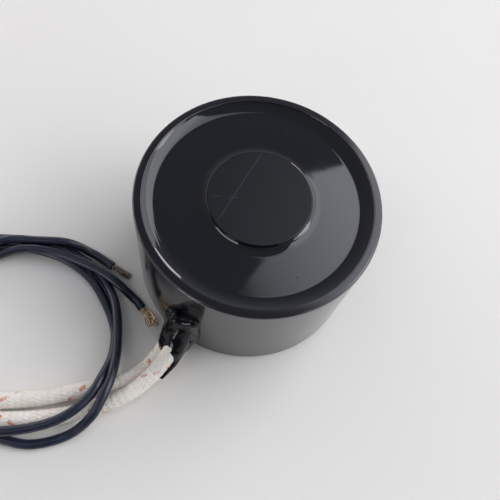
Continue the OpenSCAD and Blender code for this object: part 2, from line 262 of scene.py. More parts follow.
def black_epoxy():
    """Black casting epoxy, left to level by itself: a liquid mirror, a slow ripple and a few dust pips."""
    material, tree, shader = start_material("black_epoxy")
    place = add(tree, "ShaderNodeTexCoord").outputs["Object"]
    ripple = add(tree, "ShaderNodeTexNoise", {"Vector": place, "Scale": 1 / (7 * MM), "Detail": 1})
    pips = add(tree, "ShaderNodeTexVoronoi", {"Vector": place, "Scale": 1 / (5 * MM)})
    pip = add(tree, "ShaderNodeMapRange", {"Value": pips.outputs["Distance"], "From Min": 0.02,
                                           "From Max": 0.05,
                                           "To Min": 1, "To Max": 0})
    bump = add(tree, "ShaderNodeBump",
               {"Height": ripple.outputs["Fac"], "Strength": 0.3, "Distance": 0.02 * MM})
    fine = add(tree, "ShaderNodeBump", {"Height": pip.outputs["Result"], "Strength": 0.5,
                                        "Distance": 0.02 * MM,
                                        "Normal": bump.outputs["Normal"]})
    haze = add(tree, "ShaderNodeTexNoise", {"Vector": place, "Scale": 1 / (3 * MM), "Detail": 5})
    rough = add(tree, "ShaderNodeMapRange", {"Value": haze.outputs["Fac"], "To Min": 0.02, "To Max": 0.07})
    set_shader(tree, shader, {"Base Color": srgb("#090a10"), "Roughness": rough.outputs["Result"],
                              "IOR": 1.55,
                              "Normal": fine.outputs["Normal"]})
    return material


def black_sealant():
    """Black sealing compound dabbed on by hand: wet gloss over soft lumps and pull marks."""
    material, tree, shader = start_material("black_sealant")
    place = add(tree, "ShaderNodeTexCoord").outputs["Object"]
    lumps = add(tree, "ShaderNodeTexNoise", {"Vector": place, "Scale": 1 / (1.5 * MM), "Detail": 2})
    bump = add(tree, "ShaderNodeBump",
               {"Height": lumps.outputs["Fac"], "Strength": 0.6, "Distance": 0.25 * MM})
    rough = add(tree, "ShaderNodeMapRange", {"Value": lumps.outputs["Fac"], "To Min": 0.06, "To Max": 0.22})
    set_shader(tree, shader, {"Base Color": srgb("#08090e"), "Roughness": rough.outputs["Result"],
                              "IOR": 1.33,
                              "Normal": bump.outputs["Normal"]})
    return material


def glass_yarn(name, pale, dark, stain_size, bounds):
    """Varnished glass-fibre yarn: off-white, soft and dull, with filaments and patches of stain or dye."""
    material, tree, shader = start_material(name)
    place = add(tree, "ShaderNodeTexCoord").outputs["Object"]
    stain = add(tree, "ShaderNodeTexNoise", {"Vector": place, "Scale": 1 / (stain_size * MM), "Detail": 3})
    fibre = add(tree, "ShaderNodeTexNoise", {"Vector": place, "Scale": 1 / (0.15 * MM), "Detail": 2})
    both = add(tree, "ShaderNodeMath", {0: stain.outputs["Fac"], 1: fibre.outputs["Fac"]},
               operation="MULTIPLY")
    share = add(tree, "ShaderNodeMapRange", {"Value": both.outputs["Value"], "From Min": bounds[0],
                                             "From Max": bounds[1]})
    colour = add(tree, "ShaderNodeMix",
                 {"Factor": share.outputs["Result"], "A": srgb(dark), "B": srgb(pale)},
                 data_type="RGBA")
    bump = add(tree, "ShaderNodeBump",
               {"Height": fibre.outputs["Fac"], "Strength": 0.4, "Distance": 0.05 * MM})
    set_shader(tree, shader, {"Base Color": colour.outputs["Result"], "Roughness": 0.8, "IOR": 1.45,
                              "Normal": bump.outputs["Normal"], "Sheen Weight": 0.15,
                              "Sheen Roughness": 0.5})
    return material


def black_silicone():
    """Extruded black silicone rubber: satin, faintly blue, with draw lines along it and dusty scuffs."""
    material, tree, shader = start_material("black_silicone_rubber")
    tree_uv = add(tree, "ShaderNodeUVMap", uv_map="along").outputs["UV"]
    place = add(tree, "ShaderNodeTexCoord").outputs["Object"]
    drawn = add(tree, "ShaderNodeMapping", {"Vector": tree_uv, "Scale": (1 / (12 * MM), 14, 1)})
    lines = add(tree, "ShaderNodeTexNoise", {"Vector": drawn.outputs["Vector"], "Scale": 1, "Detail": 3})
    scuff = add(tree, "ShaderNodeTexNoise", {"Vector": place, "Scale": 1 / (2.5 * MM), "Detail": 5})
    dust = add(tree, "ShaderNodeMapRange",
               {"Value": scuff.outputs["Fac"], "From Min": 0.5, "From Max": 0.8})
    colour = add(tree, "ShaderNodeMix", {"Factor": dust.outputs["Result"], "A": srgb("#11182c"),
                                         "B": srgb("#222c45")}, data_type="RGBA")
    rough = add(tree, "ShaderNodeMapRange", {"Value": scuff.outputs["Fac"], "To Min": 0.24, "To Max": 0.4})
    bump = add(tree, "ShaderNodeBump",
               {"Height": lines.outputs["Fac"], "Strength": 0.2, "Distance": 0.03 * MM})
    set_shader(tree, shader, {"Base Color": colour.outputs["Result"], "Roughness": rough.outputs["Result"],
                              "IOR": 1.55, "Normal": bump.outputs["Normal"]})
    return material


def dulled_copper(name, bright, dull):
    """Bare copper strands: drawn wire, pink-gold where fresh and brown where the air has dulled it."""
    material, tree, shader = start_material(name)
    place = add(tree, "ShaderNodeTexCoord").outputs["Object"]
    tarnish = add(tree, "ShaderNodeTexNoise", {"Vector": place, "Scale": 1 / (0.6 * MM), "Detail": 3})
    share = add(tree, "ShaderNodeMapRange",
                {"Value": tarnish.outputs["Fac"], "From Min": 0.35, "From Max": 0.65})
    colour = add(tree, "ShaderNodeMix",
                 {"Factor": share.outputs["Result"], "A": srgb(bright), "B": srgb(dull)},
                 data_type="RGBA")
    rough = add(tree, "ShaderNodeMapRange",
                {"Value": tarnish.outputs["Fac"], "To Min": 0.14, "To Max": 0.38})
    set_shader(tree, shader, {"Base Color": colour.outputs["Result"], "Metallic": 1,
                              "Roughness": rough.outputs["Result"]})
    return material


def natural_nylon():
    """Moulded natural nylon: milky cream, slightly waxy, with faint flow clouds."""
    material, tree, shader = start_material("natural_nylon")
    place = add(tree, "ShaderNodeTexCoord").outputs["Object"]
    flow = add(tree, "ShaderNodeTexNoise", {"Vector": place, "Scale": 1 / (8 * MM), "Detail": 2})
    colour = add(tree, "ShaderNodeMix",
                 {"Factor": flow.outputs["Fac"], "A": srgb("#e9e2cf"), "B": srgb("#ddd4bd")},
                 data_type="RGBA")
    set_shader(tree, shader, {"Base Color": colour.outputs["Result"], "Roughness": 0.42, "IOR": 1.53})
    return material


def enamelled_copper():
    """Magnet wire laid turn by turn: clear amber enamel over copper, ridged at the wire's own pitch."""
    material, tree, shader = start_material("enamelled_copper_wire")
    place = add(tree, "ShaderNodeTexCoord").outputs["Object"]
    turns = add(tree, "ShaderNodeTexWave", {"Vector": place, "Scale": 2 * math.pi / (20 * 0.5 * MM)},
                bands_direction="Z")
    colour = add(tree, "ShaderNodeMix", {"Factor": turns.outputs["Fac"], "A": srgb("#5a2a12"),
                                         "B": srgb("#b5632f")}, data_type="RGBA")
    bump = add(tree, "ShaderNodeBump",
               {"Height": turns.outputs["Fac"], "Strength": 0.6, "Distance": 0.2 * MM})
    set_shader(tree, shader, {"Base Color": colour.outputs["Result"], "Metallic": 0.7, "Roughness": 0.3,
                              "Normal": bump.outputs["Normal"]})
    return material


def amber_film():
    """Amber polyimide film: glassy and golden, with soft wrinkles where it was pulled tight."""
    material, tree, shader = start_material("amber_polyimide_film")
    place = add(tree, "ShaderNodeTexCoord").outputs["Object"]
    pulled = add(tree, "ShaderNodeMapping", {"Vector": place, "Scale": (1, 1, 4)})
    wrinkles = add(tree, "ShaderNodeTexNoise", {"Vector": pulled.outputs["Vector"], "Scale": 1 / (5 * MM),
                                                "Detail": 3})
    colour = add(tree, "ShaderNodeMix", {"Factor": wrinkles.outputs["Fac"], "A": srgb("#a8701a"),
                                         "B": srgb("#dca03a")}, data_type="RGBA")
    bump = add(tree, "ShaderNodeBump",
               {"Height": wrinkles.outputs["Fac"], "Strength": 0.3, "Distance": 0.1 * MM})
    set_shader(tree, shader, {"Base Color": colour.outputs["Result"], "Roughness": 0.18, "IOR": 1.6,
                              "Normal": bump.outputs["Normal"]})
    return material


def tinned_copper():
    """Tin plate on a copper crimp: pale grey metal with a soft, uneven shine."""
    material, tree, shader = start_material("tinned_copper")
    place = add(tree, "ShaderNodeTexCoord").outputs["Object"]
    bloom = add(tree, "ShaderNodeTexNoise", {"Vector": place, "Scale": 1 / (0.7 * MM), "Detail": 3})
    rough = add(tree, "ShaderNodeMapRange", {"Value": bloom.outputs["Fac"], "To Min": 0.25, "To Max": 0.5})
    set_shader(tree, shader,
               {"Base Color": srgb("#c9c9c6"), "Metallic": 1, "Roughness": rough.outputs["Result"]})
    return material


def white_card():
    """Matt white card for the floor, with a trace of tone in it."""
    material, tree, shader = start_material("white_card")
    place = add(tree, "ShaderNodeTexCoord").outputs["Object"]
    tone = add(tree, "ShaderNodeTexNoise", {"Vector": place, "Scale": 1 / (60 * MM), "Detail": 3})
    colour = add(tree, "ShaderNodeMix",
                 {"Factor": tone.outputs["Fac"], "A": srgb("#e9e6df"), "B": srgb("#edeae4")},
                 data_type="RGBA")
    set_shader(tree, shader, {"Base Color": colour.outputs["Result"], "Roughness": 0.75})
    return material


ENAMEL = black_stove_enamel()
OXIDE = satin_black_oxide()
EPOXY = black_epoxy()
SEALANT = black_sealant()
YARN = glass_yarn("glass_yarn", "#fbf4ea", "#e6ded2", 4, (0.12, 0.42))
TRACER = glass_yarn("red_tracer_yarn", "#f0e2d6", "#d48465", 2.2, (0.2, 0.34))
SILICONE = black_silicone()
BRIGHT_COPPER = dulled_copper("fresh_copper_strand", "#ffeccf", "#bd946a")
BROWN_COPPER = dulled_copper("brown_copper_strand", "#a89a8a", "#6a5a4c")


# Meshes


def make_object(name, points, faces, edges=()):
    """A mesh object at the origin, linked to the scene."""
    mesh = bpy.data.meshes.new(name)
    mesh.from_pydata([tuple(p) for p in points], list(edges), [tuple(f) for f in faces])
    piece = bpy.data.objects.new(name, mesh)
    bpy.context.scene.collection.objects.link(piece)
    return piece


def smooth(piece, sharp_degrees):
    """Faces outwards, smooth shading, and crease edges above an angle."""
    shape = bmesh.new()
    shape.from_mesh(piece.data)
    bmesh.ops.recalc_face_normals(shape, faces=shape.faces)
    shape.to_mesh(piece.data)
    shape.free()
    piece.data.polygons.foreach_set("use_smooth", [True] * len(piece.data.polygons))
    piece.data.set_sharp_from_angle(angle=math.radians(sharp_degrees))


def apply_modifiers(piece):
    """Replaces a piece's mesh by what its modifiers make of it, and takes them off."""
    graph = bpy.context.evaluated_depsgraph_get()
    mesh = bpy.data.meshes.new_from_object(piece.evaluated_get(graph), depsgraph=graph)
    piece.modifiers.clear()
    piece.data = mesh


def stand_for(piece, slot, *nodes):
    """The piece stands for its solids, on the part's one body."""
    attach(piece, "root")
    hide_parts(*nodes)


def rounded(corners, steps=6):
    """Section points (radius, z) with each corner (radius, z, fillet) an arc between two holding points."""
    points = []
    count = len(corners)
    for i, (r, z, fillet) in enumerate(corners):
        here = Vector((r, z))
        if fillet == 0:
            points.append((r, z))
            continue
        to_last = (Vector(corners[i - 1][:2]) - here).normalized()
        to_next = (Vector(corners[(i + 1) % count][:2]) - here).normalized()
        half = to_last.angle(to_next) / 2
        centre = here + (to_last + to_next).normalized() * fillet / math.sin(half)
        start = here + to_last * fillet / math.tan(half) - centre
        end = here + to_next * fillet / math.tan(half) - centre
        sweep = start.angle_signed(end)
        hold = HOLD_SHARE * fillet
        points.append(tuple(centre + start + to_last * hold))
        for k in range(steps + 1):
            spoke = Matrix.Rotation(-sweep * k / steps, 2) @ start
            points.append(tuple(centre + spoke))
        points.append(tuple(centre + end + to_next * hold))
    return points


def lathe(rows, closed):
    """Points and faces of a turned shape; a row is (radius, z) and its radius may follow the angle."""
    points, faces, rings = [], [], []
    for radius, z in rows:
        first = len(points)
        turns = 1 if radius == 0 else TURN_STEPS
        for k in range(turns):
            angle = 2 * math.pi * k / TURN_STEPS
            r = radius(angle) if callable(radius) else radius
            points.append((r * math.cos(angle), r * math.sin(angle), z))
        rings.append(range(first, first + turns))
    for low, high in zip(rings, rings[1:] + (rings[:1] if closed else [])):
        for k in range(TURN_STEPS):
            n = k + 1
            quad = [low[k % len(low)], low[n % len(low)], high[n % len(high)], high[k % len(high)]]
            faces.append(tuple(dict.fromkeys(quad)))
    return points, faces


def make_cup():
    """Turned cup with a rim that falls a hair outwards, soft edges, and the lead hole through its wall."""
    fall = []
    for i in range(RIM_STEPS + 1):
        out = (CUP_R - CUP_EDGE - BORE_R) * i / RIM_STEPS
        tilt = RIM_TILT[0] + (RIM_TILT[1] - RIM_TILT[0]) * i / (2 * RIM_STEPS)
        fall.append((BORE_R + out, CUP_H - out * math.tan(tilt)))
    edge_z = fall[-1][1] - CUP_EDGE * math.tan(RIM_TILT[1])
    section = rounded([(SPIGOT_R, 0, 0), (CUP_R, 0, CUP_EDGE), (CUP_R, edge_z, CUP_EDGE)]
                      + [(r, z, 0) for r, z in fall[-2:1:-1]]
                      + [fall[0] + (RIM_INNER_EDGE,), (BORE_R, CUP_FLOOR, 0), (SPIGOT_R, CUP_FLOOR, 0)])
    piece = make_object("cup_body", *lathe(section, True))
    smooth(piece, 40)
    cutter = bmesh.new()
    across = Matrix.Translation((0, -CUP_R, HOLE_Z)) @ Matrix.Rotation(math.pi / 2, 4, "X")
    bmesh.ops.create_cone(cutter, cap_ends=True, segments=48, radius1=HOLE_D / 2, radius2=HOLE_D / 2,
                          depth=HOLE_CUT, matrix=across)
    drill = make_object("lead_hole_drill", [], [])
    cutter.to_mesh(drill.data)
    cutter.free()
    cut = piece.modifiers.new("lead_hole", "BOOLEAN")
    cut.operation = "DIFFERENCE"
    cut.solver = "EXACT"
    cut.object = drill
    apply_modifiers(piece)
    bpy.data.objects.remove(drill)
    piece.data.materials.clear()
    piece.data.materials.append(ENAMEL)
    smooth(piece, 40)
    stand_for(piece, "cup_coating", "cup")


def thread_wall(z):
    """Radius of the screw thread's wall at a height, as a function of the angle."""
    def radius(angle):
        phase = (z / THREAD_PITCH - angle / (2 * math.pi)) % 1
        height = min(1, max(0, 1.35 * (1 - abs(2 * phase - 1)) - 0.15))
        fade = min(1, (THREAD_DEPTH - z) / THREAD_PITCH)
        return THREAD_MINOR_R + (THREAD_MAJOR_R - THREAD_MINOR_R) * height * fade
    return radius


def make_core():
    """Turned core: satin pole face with a broken edge, spigot, and a tapped hole in the back."""
    outside = rounded([(0, CUP_H, 0), (POLE_R, CUP_H, POLE_EDGE), (POLE_R, CUP_FLOOR, 0),
                       (SPIGOT_R, CUP_FLOOR, 0), (SPIGOT_R, 0, 0),
                       (THREAD_MAJOR_R + 0.4 * THREAD_MOUTH, 0, 0), (THREAD_MAJOR_R, THREAD_MOUTH, 0)])
    rows = int(THREAD_ROWS_A_TURN * THREAD_DEPTH / THREAD_PITCH)
    heights = [THREAD_MOUTH + (THREAD_DEPTH - THREAD_MOUTH) * i / rows for i in range(1, rows + 1)]
    thread = [(thread_wall(z), z) for z in heights]
    tip = THREAD_DEPTH + THREAD_MINOR_R / math.tan(DRILL_ANGLE / 2)
    piece = make_object("centre_pole", *lathe(outside + thread + [(0, tip)], False))
    piece.data.materials.append(OXIDE)
    smooth(piece, 35)
    stand_for(piece, "pole_coating", "core")


def meniscus(wall_r, size, direction, swing=(0, 0), steps=20):
    """Section of the resin's edge, which steepens up to a wall and may be wider on one side."""
    width, rise, power = size

    def at(share):
        def radius(angle):
            reach = width + swing[0] * math.cos(angle - swing[1])
            return wall_r - direction * reach * (1 - share)
        return radius

    climb = [(at(i / steps), RESIN_Z + rise * (i / steps) ** power) for i in range(steps + 1)]
    return [(at(-0.03), RESIN_Z)] + climb


def make_potting():
    """Ring of cast resin that climbs the pole and the cup's wall at its edges."""
    section = [(BORE_R, RESIN_BASE_Z), (POLE_R, RESIN_BASE_Z)]
    section += meniscus(POLE_R, POLE_MENISCUS, -1)[::-1]
    section += meniscus(BORE_R, WALL_MENISCUS, 1, WALL_MENISCUS_SWING)
    piece = make_object("potting_resin", *lathe(section, True))
    piece.data.materials.append(EPOXY)
    smooth(piece, 50)
    stand_for(piece, "potting_resin", "potting")


def make_seal():
    """Lump of compound round the exit: strokes of balls that are fused, slumped and pressed on the wall."""
    shape = bmesh.new()
    for stroke in SEAL_STROKES:
        for a, b in zip(stroke, stroke[1:]):
            for share in np.linspace(0, 1, SEAL_BALLS):
                x, y, z, r = (np.array(a) + (np.array(b) - np.array(a)) * share) * MM
                bmesh.ops.create_icosphere(shape, subdivisions=3, radius=r,
                                           matrix=Matrix.Translation((x, y - CUP_R, z)))
    piece = make_object("exit_seal_lump", [], [])
    shape.to_mesh(piece.data)
    shape.free()
    fuse = piece.modifiers.new("fuse", "REMESH")
    fuse.mode = "VOXEL"
    fuse.voxel_size = SEAL_VOXEL
    slump = piece.modifiers.new("slump", "SMOOTH")
    slump.factor = 0.5
    slump.iterations = 10
    apply_modifiers(piece)
    for vertex in piece.data.vertices:
        flat = Vector((vertex.co.x, vertex.co.y))
        if flat.length < CUP_R:
            flat = flat.normalized() * (CUP_R - SEAL_BITE)
            vertex.co.x, vertex.co.y = flat
        vertex.co.z = max(vertex.co.z, FLOOR_GAP)
    piece.data.materials.clear()
    piece.data.materials.append(SEALANT)
    smooth(piece, 80)
    stand_for(piece, "sealing_compound", "exit_seal")


# Cords


def smooth_route(points, lowest):
    """Points along a smooth curve through the route's points, none below the lowest height."""
    given = np.array(points, float) * MM + np.array([0, -CUP_R, 0])
    ends = np.vstack([2 * given[0] - given[1], given, 2 * given[-1] - given[-2]])
    run = []
    for i in range(1, len(ends) - 2):
        a, b, c, d = ends[i - 1:i + 3]
        for t in np.arange(ROUTE_STEPS) / ROUTE_STEPS:
            run.append(0.5 * (2 * b + (c - a) * t + (2 * a - 5 * b + 4 * c - d) * t ** 2
                              + (3 * b - a - 3 * c + d) * t ** 3))
    run.append(given[-1])
    run = np.array(run)
    run[:, 2] = np.maximum(run[:, 2], lowest)
    return run


def run_length(run):
    """Length of a line of points."""
    return float(np.linalg.norm(np.diff(run, axis=0), axis=1).sum())


def make_lead(name, run, node):
    """Insulated lead: a round tube along its run with a cut, hollow outer end."""
    sides = 20
    heading = np.gradient(run, axis=0)
    heading /= np.linalg.norm(heading, axis=1)[:, None]
    side = np.cross(heading[0], [0, 0, 1])
    along = np.concatenate([[0], np.cumsum(np.linalg.norm(np.diff(run, axis=0), axis=1))])
    rings = []
    for at, ahead, far in zip(run, heading, along):
        side = side - ahead * np.dot(side, ahead)
        side /= np.linalg.norm(side)
        rings.append((at, side, np.cross(ahead, side), LEAD_D / 2, far))
    at, side, up, radius, far = rings[-1]
    for radius, back in ((LEAD_D / 2 - LEAD_EDGE, -LEAD_LIP), (LEAD_CORE_R, 0),
                         (LEAD_CORE_R, LEAD_END_DEPTH)):
        rings.append((at - heading[-1] * back, side, up, radius, far))
    points, faces, across = [], [], []
    for at, side, up, radius, far in rings:
        for k in range(sides):
            a = 2 * math.pi * k / sides
            points.append(at + radius * (math.cos(a) * side + math.sin(a) * up))
            across.append((far, k / sides))
    for i in range(len(rings) - 1):
        for k in range(sides):
            n = (k + 1) % sides
            faces.append((i * sides + k, i * sides + n, (i + 1) * sides + n, (i + 1) * sides + k))
    faces.append(tuple(range(sides))[::-1])
    faces.append(tuple(range(len(points) - sides, len(points))))
    piece = make_object(name, points, faces)
    piece.data.materials.append(SILICONE)
    smooth(piece, 50)
    layer = piece.data.uv_layers.new(name="along")
    for face in piece.data.polygons:
        shares = {across[piece.data.loops[i].vertex_index][1] for i in face.loop_indices}
        wraps = shares >= {0, (sides - 1) / sides}
        for i in face.loop_indices:
            u, v = across[piece.data.loops[i].vertex_index]
            layer.data[i].uv = (u, 1 if wraps and v == 0 else v)
    stand_for(piece, "lead_insulation", node)
    return piece


def start_tree(name, inputs):
    """A geometry tree with the named inputs, and its input and output nodes."""
    tree = bpy.data.node_groups.new(name, "GeometryNodeTree")
    tree.interface.new_socket("Geometry", in_out="OUTPUT", socket_type="NodeSocketGeometry")
    tree.interface.new_socket("Geometry", in_out="INPUT", socket_type="NodeSocketGeometry")
    for label, kind in inputs.items():
        tree.interface.new_socket(label, in_out="INPUT", socket_type="NodeSocket" + kind)
    return tree, add(tree, "NodeGroupInput").outputs


def run_tree(piece, tree, values):
    """Runs a geometry tree on a piece with its inputs set, and keeps the mesh that it makes."""
    modifier = piece.modifiers.new(tree.name, "NODES")
    modifier.node_group = tree
    for item in tree.interface.items_tree:
        if item.in_out == "INPUT" and item.name in values:
            modifier[item.identifier] = values[item.name]
    apply_modifiers(piece)


def braid_tree():
    """Two sets of yarns that wind opposite ways round a line, over two and under two, on a backing tube."""
    tree, given = start_tree("glass_braid", {
        "Radius": "Float", "Weave": "Float", "Yarn Width": "Float", "Yarn Thickness": "Float",
        "Turn Length": "Float", "Carriers": "Int", "Samples": "Int", "Phase": "Float",
        "Tracer Place": "Int", "Yarn": "Material", "Tracer": "Material", "Seed": "Float"})

    def maths(operation, *values):
        return add(tree, "ShaderNodeMath", dict(enumerate(values)), operation=operation).outputs["Value"]

    line = add(tree, "GeometryNodeMeshToCurve", {"Mesh": given["Geometry"]}).outputs["Curve"]
    line = add(tree, "GeometryNodeResampleCurve",
               {"Curve": line, "Count": given["Samples"]}).outputs["Curve"]
    far = add(tree, "GeometryNodeSplineParameter").outputs["Length"]
    share = add(tree, "GeometryNodeSplineParameter").outputs["Factor"]
    ahead = add(tree, "GeometryNodeInputTangent").outputs["Tangent"]
    side = add(tree, "GeometryNodeInputNormal").outputs["Normal"]
    turns = maths("DIVIDE", far, given["Turn Length"])
    crossing = maths("MULTIPLY", maths("MULTIPLY", turns, given["Carriers"]), math.pi)
    crossing = maths("SUBTRACT", crossing, math.pi / 4)
    rise = maths("MULTIPLY", maths("COSINE", crossing), given["Weave"])
    at = add(tree, "GeometryNodeInputPosition").outputs["Position"]
    swell = add(tree, "ShaderNodeTexNoise",
                {"Vector": at, "W": given["Seed"], "Scale": 1 / SLEEVE_SWELL_LENGTH, "Detail": 1},
                noise_dimensions="4D").outputs["Fac"]
    swell = maths("MULTIPLY", maths("SUBTRACT", swell, 0.5), SLEEVE_SWELL)
    flare = maths("MULTIPLY", maths("POWER", share, 40), SLEEVE_FLARE)
    outline = add(tree, "GeometryNodeCurvePrimitiveCircle",
                  {"Resolution": 8, "Radius": 0.5}).outputs["Curve"]
    flat = add(tree, "ShaderNodeCombineXYZ", {0: given["Yarn Thickness"], 1: given["Yarn Width"], 2: 1})
    outline = add(tree, "GeometryNodeTransform", {"Geometry": outline, "Scale": flat.outputs["Vector"]})
    made = add(tree, "GeometryNodeJoinGeometry")
    for sense in (1, -1):
        yarns = add(tree, "GeometryNodeDuplicateElements", {"Geometry": line, "Amount": given["Carriers"]},
                    domain="SPLINE")
        number = yarns.outputs["Duplicate Index"]
        around = maths("ADD", maths("DIVIDE", number, given["Carriers"]), maths("MULTIPLY", turns, sense))
        angle = maths("MULTIPLY", maths("ADD", around, given["Phase"]), 2 * math.pi)
        bound = add(tree, "ShaderNodeVectorMath", {0: ahead, 1: side},
                    operation="CROSS_PRODUCT").outputs["Vector"]
        one = add(tree, "ShaderNodeVectorMath", {0: side, "Scale": maths("COSINE", angle)},
                  operation="SCALE")
        two = add(tree, "ShaderNodeVectorMath", {0: bound, "Scale": maths("SINE", angle)},
                  operation="SCALE")
        spoke = add(tree, "ShaderNodeVectorMath", {0: one.outputs["Vector"], 1: two.outputs["Vector"]})
        facing = add(tree, "GeometryNodeSetCurveNormal", {"Curve": yarns.outputs["Geometry"],
                                                          "Normal": spoke.outputs["Vector"]}, mode="FREE")
        radius = maths("ADD", given["Radius"], maths("MULTIPLY", rise, sense))
        radius = maths("ADD", radius, maths("ADD", swell, flare))
        outward = add(tree, "ShaderNodeVectorMath", {0: side, "Scale": radius}, operation="SCALE")
        moved = add(tree, "GeometryNodeSetPosition", {"Geometry": facing.outputs["Curve"],
                                                      "Offset": outward.outputs["Vector"]})
        carrier = number if sense == 1 else maths("ADD", number, given["Carriers"])
        marked = add(tree, "GeometryNodeStoreNamedAttribute", {"Geometry": moved.outputs["Geometry"],
                                                               "Name": "carrier", "Value": carrier},
                     data_type="INT", domain="CURVE")
        cloth = add(tree, "GeometryNodeCurveToMesh", {"Curve": marked.outputs["Geometry"],
                                                      "Profile Curve": outline.outputs["Geometry"],
                                                      "Fill Caps": True})
        white = add(tree, "GeometryNodeSetMaterial", {"Geometry": cloth.outputs["Mesh"],
                                                      "Material": given["Yarn"]}).outputs["Geometry"]
        mark = add(tree, "GeometryNodeInputNamedAttribute", {"Name": "carrier"}, data_type="INT")
        traced = add(tree, "FunctionNodeCompare", {2: mark.outputs["Attribute"], 3: given["Tracer Place"]},
                     data_type="INT", operation="EQUAL")
        both = add(tree, "GeometryNodeSetMaterial", {"Geometry": white, "Material": given["Tracer"],
                                                     "Selection": traced.outputs["Result"]})
        tree.links.new(both.outputs["Geometry"], made.inputs["Geometry"])
    inside = maths("SUBTRACT", given["Radius"], given["Yarn Thickness"])
    tube = add(tree, "GeometryNodeCurvePrimitiveCircle",
               {"Resolution": 20, "Radius": inside}).outputs["Curve"]
    backing = add(tree, "GeometryNodeCurveToMesh", {"Curve": line, "Profile Curve": tube})
    backing = add(tree, "GeometryNodeSetMaterial",
                  {"Geometry": backing.outputs["Mesh"], "Material": given["Yarn"]})
    tree.links.new(backing.outputs["Geometry"], made.inputs["Geometry"])
    soft = add(tree, "GeometryNodeSetShadeSmooth", {"Geometry": made.outputs["Geometry"]})
    whole = add(tree, "GeometryNodeRealizeInstances", {"Geometry": soft.outputs["Geometry"]})
    add(tree, "NodeGroupOutput", {0: whole.outputs["Geometry"]})
    return tree


def strand_tree():
    """Fine wires that leave a cut lead as one twisted bundle, fan out unevenly and lie on the floor."""
    tree, given = start_tree("copper_strands", {
        "Strands": "Int", "Wire Width": "Float", "Bundle Radius": "Float", "Fan": "Float",
        "Twist": "Float", "Uneven": "Float", "Seed": "Int", "Copper": "Material"})

    def maths(operation, *values):
        return add(tree, "ShaderNodeMath", dict(enumerate(values)), operation=operation).outputs["Value"]

    def chance(low, high, offset):
        seed = maths("ADD", given["Seed"], offset)
        return add(tree, "FunctionNodeRandomValue",
                   {2: low, 3: high, "ID": number, "Seed": seed}).outputs[1]

    line = add(tree, "GeometryNodeMeshToCurve", {"Mesh": given["Geometry"]}).outputs["Curve"]
    line = add(tree, "GeometryNodeResampleCurve", {"Curve": line, "Count": 14}).outputs["Curve"]
    wires = add(tree, "GeometryNodeDuplicateElements", {"Geometry": line, "Amount": given["Strands"]},
                domain="SPLINE")
    number = wires.outputs["Duplicate Index"]
    share = add(tree, "GeometryNodeSplineParameter").outputs["Factor"]
    ahead = add(tree, "GeometryNodeInputTangent").outputs["Tangent"]
    side = add(tree, "GeometryNodeInputNormal").outputs["Normal"]
    bound = add(tree, "ShaderNodeVectorMath", {0: ahead, 1: side},
                operation="CROSS_PRODUCT").outputs["Vector"]
    spread = maths("SQRT", maths("DIVIDE", maths("ADD", number, 0.3), given["Strands"]))
    opened = maths("ADD", 1, maths("MULTIPLY", maths("POWER", share, 1.6),
                                   maths("MULTIPLY", given["Fan"], chance(0.2, 1.0, 1))))
    radius = maths("MULTIPLY", maths("MULTIPLY", spread, given["Bundle Radius"]), opened)
    golden = math.pi * (3 - math.sqrt(5))
    angle = maths("ADD", maths("MULTIPLY", number, golden), maths("MULTIPLY", share, given["Twist"]))
    one = add(tree, "ShaderNodeVectorMath",
              {0: side, "Scale": maths("MULTIPLY", radius, maths("COSINE", angle))},
              operation="SCALE")
    two = add(tree, "ShaderNodeVectorMath",
              {0: bound, "Scale": maths("MULTIPLY", radius, maths("SINE", angle))},
              operation="SCALE")
    back = maths("MULTIPLY", maths("MULTIPLY", share, share),
                 maths("MULTIPLY", given["Uneven"], chance(-1.0, 0.3, 2)))
    three = add(tree, "ShaderNodeVectorMath", {0: ahead, "Scale": back}, operation="SCALE")
    offset = add(tree, "ShaderNodeVectorMath", {0: one.outputs["Vector"], 1: two.outputs["Vector"]})
    offset = add(tree, "ShaderNodeVectorMath", {0: offset.outputs["Vector"], 1: three.outputs["Vector"]})
    moved = add(tree, "GeometryNodeSetPosition", {"Geometry": wires.outputs["Geometry"],
                                                  "Offset": offset.outputs["Vector"]})
    half = maths("MULTIPLY", given["Wire Width"], 0.5)
    at = add(tree, "ShaderNodeSeparateXYZ", {0: add(tree, "GeometryNodeInputPosition").outputs["Position"]})
    raised = maths("MAXIMUM", at.outputs["Z"], half)
    laid = add(tree, "ShaderNodeCombineXYZ", {0: at.outputs["X"], 1: at.outputs["Y"], 2: raised})
    moved = add(tree, "GeometryNodeSetPosition", {"Geometry": moved.outputs["Geometry"],
                                                  "Position": laid.outputs["Vector"]})
    outline = add(tree, "GeometryNodeCurvePrimitiveCircle",
                  {"Resolution": 8, "Radius": half}).outputs["Curve"]
    drawn = add(tree, "GeometryNodeCurveToMesh", {"Curve": moved.outputs["Geometry"],
                                                  "Profile Curve": outline,
                                                  "Fill Caps": True})
    soft = add(tree, "GeometryNodeSetShadeSmooth", {"Geometry": drawn.outputs["Mesh"]})
    whole = add(tree, "GeometryNodeRealizeInstances", {"Geometry": soft.outputs["Geometry"]})
    dressed = add(tree, "GeometryNodeSetMaterial", {"Geometry": whole.outputs["Geometry"],
                                                    "Material": given["Copper"]})
    add(tree, "NodeGroupOutput", {0: dressed.outputs["Geometry"]})
    return tree


def make_line(name, run):
    """A bare line of points for a geometry tree to work along."""
    return make_object(name, run, [], [(i, i + 1) for i in range(len(run) - 1)])


